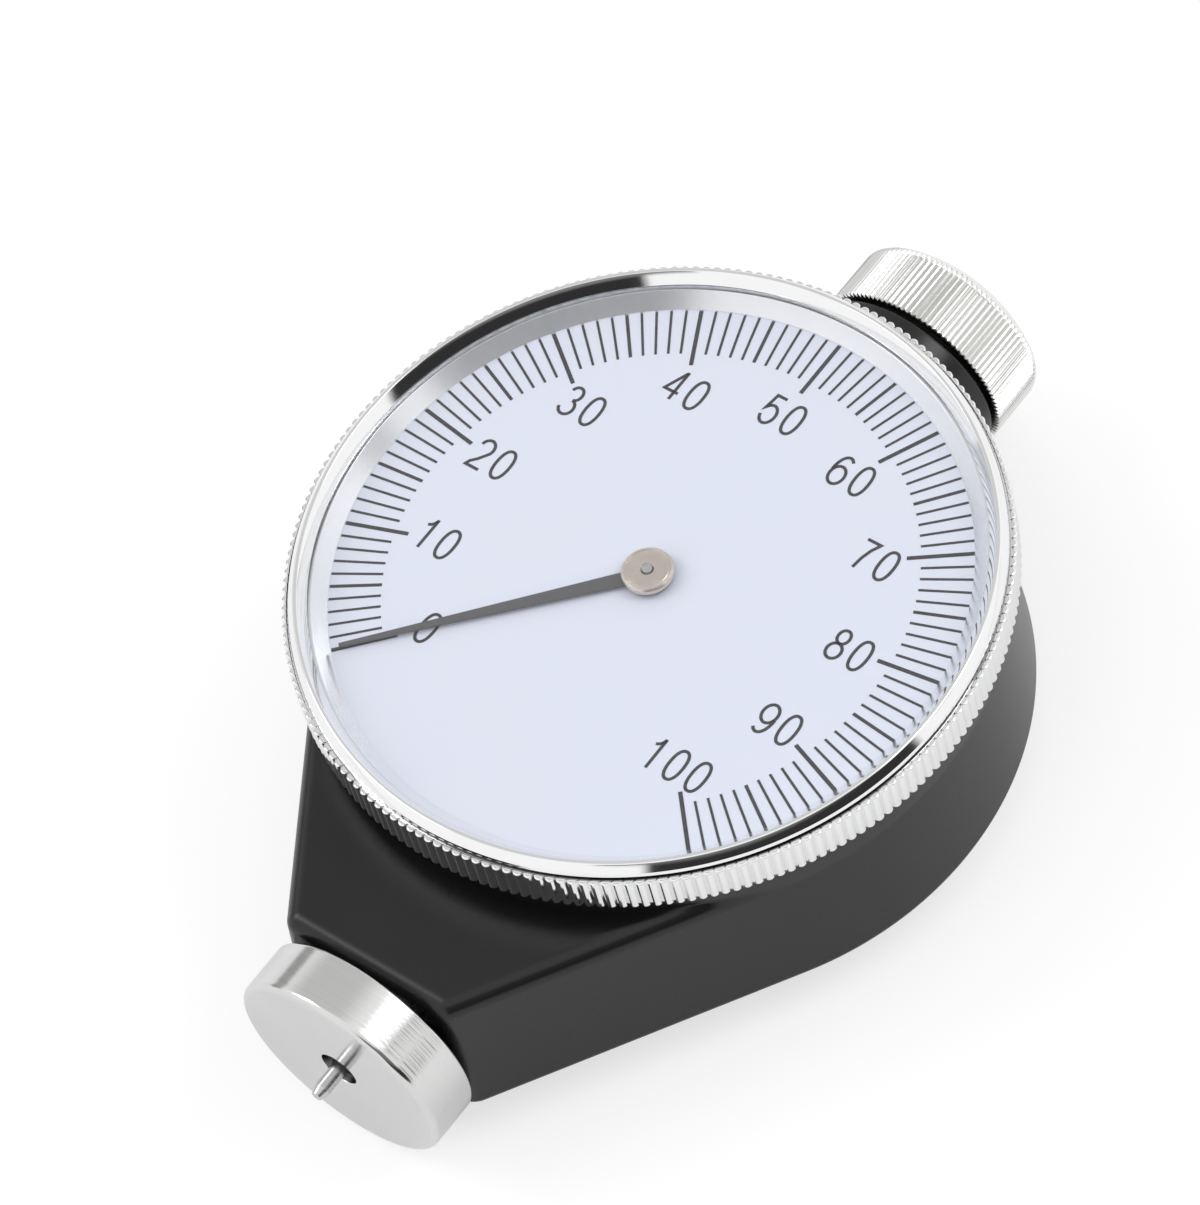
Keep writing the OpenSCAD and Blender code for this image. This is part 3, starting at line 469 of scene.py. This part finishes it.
KNOB_TEETH, KNOB_DEPTH = 104, 0.3
TEETH_R, TEETH_END, TEETH_FADE = 7.3, 34.6, 0.7
DOME_R, DOME_LOW, DOME_RISE = 7.05, 34.42, 1.83
dome = [(DOME_R * math.cos(math.radians(6 * k)), DOME_LOW + DOME_RISE * math.sin(math.radians(6 * k)))
        for k in range(2, 16)]
knob_line = rounded([
    (0, 33.7, 0), (4.5, 33.7, 0), (4.5, 30.6, 0), (6.5, 30.6, 0), (6.5, 29.5, 0.1), (7.6, 29.5, 0.02),
    (7.7, 29.58, 0.03), (7.7, 34.5, 0.8), (*dome[0], 0)])
knob_line += dome[1:] + [(0, DOME_LOW + DOME_RISE)]
knob = lathe("knob_turning", knob_line, KNOB_TEETH * 6, "Y")


def knob_rim(spot):
    radius = math.hypot(spot.x, spot.z - AXIS_Z * MM)
    weight = min(1, (TEETH_END - spot.y / MM) / TEETH_FADE) if radius > TEETH_R * MM else 0
    return radius, math.atan2(spot.z - AXIS_Z * MM, spot.x), weight * MM


def press_knob(vertex, scale):
    vertex.co.x *= scale
    vertex.co.z = AXIS_Z * MM + (vertex.co.z - AXIS_Z * MM) * scale


knurl(knob, KNOB_TEETH, KNOB_DEPTH, (0, 0.16, 0.55, 1, 0.55, 0.16), knob_rim, press_knob)
settle(knob, bright_plate("bright_nickel", (0.88, 0.88, 0.865), 0.17))
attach(knob, "top_knob")
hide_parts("knob")

# Dial: a sheet-metal disc in matt white paint with a faint blue cast.
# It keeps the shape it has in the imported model.


def matt_paint(name, low, high, rough):
    finish, wires, shader = new_finish(name)
    cloud = wires.noise(wires.place(), 55)
    grain = wires.noise(wires.place(), 6000, 3)
    wires.feed(shader, {
        "Base Color": wires.blend(0.7 * cloud + 0.3 * grain, (*low, 1), (*high, 1)),
        "Roughness": rough + 0.1 * grain,
        "Normal": wires.bump(grain, 0.08, 0.000006),
    })
    return finish


coat(frame["nodes"]["dial"], matt_paint("dial_white", (0.75, 0.785, 0.9), (0.78, 0.815, 0.93), 0.5))

# Marks of the scale: 101 fine lines printed on the dial in dark grey ink, one for each degree of
# hardness, wider at the fives and longer at the tens.
ZERO, SWEEP = math.radians(226.42), math.radians(272.84)
MARK_OUT, DIAL_TOP, MARK_T = 22.9, 19.4, 0.03
TENS, FIVES, ONES = (18.14, 0.3), (19.14, 0.245), (19.14, 0.185)


def blank(name):
    """An empty piece in edit mode, to draw in."""
    bpy.ops.object.select_all(action="DESELECT")
    bpy.ops.mesh.primitive_plane_add(size=MM)
    piece = bpy.context.object
    piece.name = piece.data.name = name
    bpy.ops.object.mode_set(mode="EDIT")
    bpy.ops.mesh.select_all(action="SELECT")
    bpy.ops.mesh.delete(type="VERT")
    return piece


scale_marks = blank("scale_marks")
for degree in range(101):
    inner, wide = TENS if degree % 10 == 0 else FIVES if degree % 5 == 0 else ONES
    turn = ZERO - SWEEP * degree / 100
    middle = (inner + MARK_OUT) / 2
    spot = Vector((middle * math.cos(turn), middle * math.sin(turn), DIAL_TOP + MARK_T / 2)) * MM
    bpy.ops.mesh.primitive_cube_add(size=MM, location=spot, rotation=(0, 0, turn),
                                    scale=(MARK_OUT - inner, wide, MARK_T))
bpy.ops.object.mode_set(mode="OBJECT")
ink = matt_paint("dial_ink", (0.016, 0.016, 0.018), (0.03, 0.03, 0.034), 0.5)
coat(scale_marks, ink)
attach(scale_marks, "bezel_set")
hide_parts("dial_scale")

# Numbers of the scale: printed on the dial in the ink of the marks, every tenth mark,
# all of them upright as the dial is read.
NUMBER_R, NUMBER_H, DIGIT_W, DIGIT_H, DIGIT_MID = 15.95, 2.8, 0.52, 0.89, 0.45
STROKE, INK_T, STEP, NARROW = 0.235, 0.024, 0.8, 0.84


def bow(x, y, across, up, first, last, square=2.0):
    """Part of an oval from one angle to another, fuller in its corners where it is squared."""
    count = max(6, round(abs(last - first) / 12))
    line = []
    for k in range(count + 1):
        a = math.radians(first + (last - first) * k / count)
        c, s = math.cos(a), math.sin(a)
        line.append((x + across * math.copysign(abs(c) ** (2 / square), c),
                     y + up * math.copysign(abs(s) ** (2 / square), s)))
    return line


six = [bow(0.26, 0.29, 0.25, 0.28, 0, 360), bow(0.29, 0.43, 0.28, 0.46, 184, 52)]
strokes = {
    "0": [bow(0.26, 0.45, 0.24, 0.45, 0, 360, 2.3)],
    "1": [[(0.31, 0.93), (0.31, 0)], [(0.09, 0.69), (0.2, 0.735), (0.27, 0.81), (0.3, 0.89)]],
    "2": [bow(0.26, 0.66, 0.23, 0.24, 170, -35) + [(0.24, 0.27), (0.07, 0.12), (0.01, 0), (0.5, 0)]],
    "3": [bow(0.25, 0.68, 0.2, 0.21, 165, -82), bow(0.25, 0.235, 0.24, 0.235, 84, -165)],
    "4": [[(0.38, 0), (0.38, 0.93)], [(0.36, 0.89), (0.02, 0.25), (0.52, 0.25)]],
    "5": [[(0.46, 0.89), (0.12, 0.89), (0.045, 0.45)] + bow(0.255, 0.29, 0.24, 0.29, 135, -165)],
    "6": six,
    "7": [[(0.02, 0.88), (0.5, 0.88), (0.34, 0.62), (0.24, 0.34), (0.19, 0)]],
    "8": [bow(0.26, 0.685, 0.195, 0.208, 0, 360), bow(0.26, 0.235, 0.24, 0.235, 0, 360)],
    "9": [[(DIGIT_W - x, DIGIT_H - y) for x, y in line] for line in six],
}
numbers = blank("dial_numbers")
edit = bmesh.from_edit_mesh(numbers.data)
for n in range(11):
    word = str(10 * n)
    angle = ZERO - SWEEP * n / 10
    left = NUMBER_R * math.cos(angle) - NARROW * NUMBER_H * (STEP * len(word) - STEP + DIGIT_W) / 2
    low = NUMBER_R * math.sin(angle) - NUMBER_H * DIGIT_MID
    for place, digit in enumerate(word):
        for line in strokes[digit]:
            spots = []
            for x, y in line:
                across = left + NARROW * NUMBER_H * (x + STEP * place)
                spots.append(edit.verts.new(Vector((across, low + NUMBER_H * y, DIAL_TOP)) * MM))
            for first, last in zip(spots, spots[1:]):
                edit.edges.new((first, last))
bmesh.update_edit_mesh(numbers.data)
bpy.ops.mesh.select_all(action="SELECT")
bpy.ops.mesh.remove_doubles(threshold=1e-6)
bpy.ops.mesh.extrude_region_move(TRANSFORM_OT_translate={"value": (0, 0, INK_T * MM)})
bpy.ops.object.mode_set(mode="OBJECT")
modifier = numbers.modifiers.new("stroke", "SOLIDIFY")
modifier.thickness = STROKE * MM
modifier.offset = 0
modifier.use_even_offset = True
bpy.ops.object.modifier_apply(modifier=modifier.name)
bpy.ops.object.mode_set(mode="EDIT")
tidy_up()
coat(numbers, ink)
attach(numbers, "bezel_set")

# Pointer: a stamped needle in dark grey paint, wide at its hub, under a turned boss in warm nickel.
# Both are pressed on the stepped end of the arbor.
NEEDLE_LOW, NEEDLE_TOP, NEEDLE_TIP, BOSS_TOP = 19.7, 19.9, 22.29, 20.4
HUB_R, BORE_R, ROOT, ROOT_W, TAPER, NEEDLE_EDGE = 1.8, 0.4, 1, 1.16, 0.26, 0.04
needle = lathe("needle_stamping", ((BORE_R, NEEDLE_LOW), (HUB_R, NEEDLE_LOW), (HUB_R, NEEDLE_TOP),
                                   (BORE_R, NEEDLE_TOP)), 72)
bpy.ops.object.select_all(action="DESELECT")
bpy.ops.mesh.primitive_plane_add(size=1, location=((NEEDLE_TIP + ROOT) / 2 * MM, 0, NEEDLE_LOW * MM))
blade = bpy.context.object
blade.scale = ((NEEDLE_TIP - ROOT) * MM, ROOT_W * MM, 1)
bpy.ops.object.transform_apply(location=True, rotation=True, scale=True)
bpy.ops.object.mode_set(mode="EDIT")
bpy.ops.mesh.select_all(action="DESELECT")
edit = bmesh.from_edit_mesh(blade.data)
for vertex in edit.verts:
    vertex.select = vertex.co.x > NEEDLE_TIP / 2 * MM
edit.select_flush_mode()
bpy.ops.transform.resize(value=(1, TAPER, 1), center_override=(NEEDLE_TIP * MM, 0, NEEDLE_LOW * MM))
bpy.ops.mesh.select_all(action="SELECT")
bpy.ops.mesh.extrude_region_move(TRANSFORM_OT_translate={"value": (0, 0, (NEEDLE_TOP - NEEDLE_LOW) * MM)})
bpy.ops.mesh.select_all(action="SELECT")
bpy.ops.mesh.bevel(offset=NEEDLE_EDGE * MM, segments=2, affect="EDGES")
tidy_up()
bpy.ops.transform.rotate(value=-ZERO, orient_axis="Z", center_override=(0, 0, 0))
bpy.ops.object.transform_apply(location=True, rotation=True, scale=True)
combine(needle, blade, "UNION")
settle(needle, matt_paint("needle_grey", (0.075, 0.074, 0.079), (0.11, 0.108, 0.114), 0.34))
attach(needle, "pointer")
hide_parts("pointer_needle")

boss = lathe("boss_turning", rounded([
    (BORE_R, NEEDLE_TOP, 0), (1.9, NEEDLE_TOP, 0.03), (1.9, 20.24, 0.05), (1.74, BOSS_TOP, 0.04),
    (1.62, BOSS_TOP, 0.01), (1.59, BOSS_TOP - 0.03, 0), (1.55, BOSS_TOP, 0.01), (0.5, BOSS_TOP, 0.02),
    (BORE_R, BOSS_TOP - 0.14, 0)], 4), 128)
settle(boss, worked_metal("warm_nickel", (0.64, 0.56, 0.49), (0.77, 0.69, 0.61), 0.2))
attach(boss, "pointer")
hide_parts("pointer_boss")

# Bezel: a brass ring in bright chrome, knurled straight around its rim, with a rolled smooth lip and a fine groove
# at the lip's foot, where the chrome is painted near-black as shade. Its spigot turns in the collar of the case, and
# it holds lens, ring and dial.
BEZEL_TEETH, BEZEL_DEPTH, RIM_R = 206, 0.3, 25.7
# Painted shade in the groove at the lip's foot: radius and height of its middle, and how far it reaches across and
# up, in mm.
GROOVE_SHADE = (25.56, 20.83, 0.1, 0.13)
bezel = lathe("bezel_turning", rounded([
    (22.85, 15.8, 0.05), (24, 15.8, 0.1), (24, 17.7, 0), (25.6, 17.7, 0.05), (26, 18, 0.15), (26, 20.84, 0.05),
    (25.9, 20.9, 0.02), (25.66, 20.9, 0.02), (25.63, 20.7, 0), (25.5, 20.7, 0), (25.5, 21.15, 0.04),
    (25.44, 21.38, 0.3), (24.98, 22, 0.2), (24.72, 22, 0.08),
    (24.1, 21.12, 0.02), (24.37, 21.1, 0), (24.37, 18.9, 0), (22.85, 18.9, 0)], 5), BEZEL_TEETH * 6)


def bezel_rim(spot):
    radius = math.hypot(spot.x, spot.y)
    return radius, math.atan2(spot.y, spot.x), MM if radius > RIM_R * MM else 0


def press_bezel(vertex, scale):
    vertex.co.x *= scale
    vertex.co.y *= scale


knurl(bezel, BEZEL_TEETH, BEZEL_DEPTH, (0, 0.07, 0.34, 1, 0.34, 0.07), bezel_rim, press_bezel)
settle(bezel, bright_plate("chrome_with_painted_groove_shade", (0.93, 0.932, 0.935), 0.03, GROOVE_SHADE))
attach(bezel, "bezel_set")
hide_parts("bezel")

# Sloping ring between dial and lens: turned, in the chrome of the bezel.
# The lens presses it down on the dial.
ring = lathe("lens_ring_turning", rounded([
    (22.94, 19.4, 0), (24.35, 19.4, 0), (24.35, 20.57, 0), (23.94, 20.57, 0.05), (22.94, 19.5, 0.03)]), 256)
settle(ring, bright_plate("satin_chrome", (0.96, 0.962, 0.97), 0.2))
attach(ring, "bezel_set")
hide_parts("lens_ring")

# Lens: a flat disc of clear acrylic, polished on both sides.
# It is pressed into the bezel under the lip, and holds the ring and the dial down.
LENS_R, LENS_LOW, LENS_TOP = 24.35, 20.61, 21.09


def clear_acrylic():
    finish, wires, shader = new_finish("clear_acrylic")
    smear = wires.noise(wires.place(), 80)
    wires.feed(shader, {
        "Base Color": wires.blend(smear, (0.97, 0.98, 1, 1), (1, 1, 1, 1)),
        "Roughness": 0.012 * smear,
        "IOR": 1.49,
        "Transmission Weight": 1.0,
    })
    return finish


lens = lathe("lens_disc", ((0, LENS_LOW), (LENS_R, LENS_LOW), (LENS_R, LENS_TOP), (0, LENS_TOP)), 256)
settle(lens, clear_acrylic())
lens.visible_shadow = False
lens.visible_diffuse = False
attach(lens, "bezel_set")
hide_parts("lens")

# Studio: a pale floor in a white tent, with darker panels where the camera stands and low on the left,
# and a soft lamp high on each side. The camera has the place and the lens of the photo's.
FLOOR_GAP, FLOOR_IN_METAL = 0.04, 0.4
bpy.ops.mesh.primitive_plane_add(size=8, location=(0, 0, -FLOOR_GAP * MM))
floor = bpy.context.object
floor.name = "floor"
finish, wires, shader = new_finish("floor_white")
seen, mirrored, through = (wires.node("ShaderNodeLightPath", out=f"Is {kind} Ray")
                           for kind in ("Camera", "Glossy", "Transmission"))
seen = wires.maths("MAXIMUM", wires.maths("MAXIMUM", seen, through), FLOOR_IN_METAL * mirrored)
wires.feed(shader, {
    "Base Color": wires.blend(seen, (0.88, 0.88, 0.89, 1), (0.4, 0.4, 0.4, 1)),
    "Emission Color": wires.blend(seen, (0, 0, 0, 1), (0.67, 0.67, 0.67, 1)),
    "Emission Strength": 1.0,
    "Roughness": 0.9,
    "Specular IOR Level": 0.0,
})
floor.data.materials.append(finish)

world = bpy.data.worlds.new("white_tent")
world.use_nodes = True
bpy.context.scene.world = world
wires = Wire(world.node_tree)
looking = wires.node("ShaderNodeTexCoord", out="Generated")
x, y, z = (wires.node("ShaderNodeSeparateXYZ", sockets={"Vector": looking}, out=n) for n in range(3))


def sector(middle, half, low, high, soft=0.03):
    """A patch of the tent around a bearing, between two heights, with a soft edge."""
    a = math.radians(middle)
    ahead = x * math.cos(a) + y * math.sin(a)
    aside = wires.node("ShaderNodeMath", {"operation": "ABSOLUTE"}, {0: y * math.cos(a) - x * math.sin(a)})
    foot, head = math.sin(math.radians(low)), math.sin(math.radians(high))
    wide, above, below = (
        wires.node("ShaderNodeMapRange", sockets={"Value": value, "From Min": start, "From Max": end})
        for value, start, end in ((ahead * math.tan(math.radians(half)) - aside, -soft, soft),
                                  (z, foot - soft, foot + soft), (z, head + soft, head - soft)))
    return wide * above * below


dark = sector(-23, 38, 1, 20)
grey = sector(-35, 40, 20, 46)
seen = wires.node("ShaderNodeLightPath", out="Is Camera Ray")
strip = sector(28, 5, 17, 38)
gloom = sector(158, 40, 3, 18)
above = wires.node("ShaderNodeMapRange", sockets={
    "Value": z * 0.818 - x * 0.446 + y * 0.362, "From Min": 0.78, "From Max": 0.93})
tent = 1.0 - 0.97 * dark - 0.78 * grey - 0.85 * strip - 0.6 * gloom - 0.34 * above
level = wires.maths("MAXIMUM", seen, tent)
wires.feed(world.node_tree.nodes["Background"], {"Color": wires.node("ShaderNodeCombineColor", sockets={
    "Red": level, "Green": level, "Blue": level}), "Strength": 1.0})

LAMP_SIZE, LAMP_AIM = 0.4, Vector((0, 0, 0.015))
for name, spot, power in (("left_lamp", (-0.6, -0.3, 0.7), 1.3), ("right_lamp", (0.5, 0.42, 0.78), 1.5)):
    bpy.ops.object.light_add(type="AREA", location=spot)
    lamp = bpy.context.object
    lamp.name = name
    lamp.data.size = LAMP_SIZE
    lamp.data.energy = power
    lamp.rotation_euler = (LAMP_AIM - lamp.location).to_track_quat("-Z", "Y").to_euler()

CAMERA_AT, FOCAL = (0.204646, -0.171247, 0.398224), 197.84
BEARING, TILT, ROLL = (math.radians(a) for a in (50.9, 90 - 54.92, -16.75))
bpy.ops.object.camera_add(location=CAMERA_AT)
camera = bpy.context.object
camera.rotation_euler = (Matrix.Rotation(BEARING, 3, "Z") @ Matrix.Rotation(TILT, 3, "X")
                         @ Matrix.Rotation(ROLL, 3, "Z")).to_euler()
camera.data.sensor_width = 36
camera.data.lens = FOCAL
camera.data.clip_start = 0.01
bpy.context.scene.camera = camera
bpy.context.scene.view_settings.view_transform = "Standard"
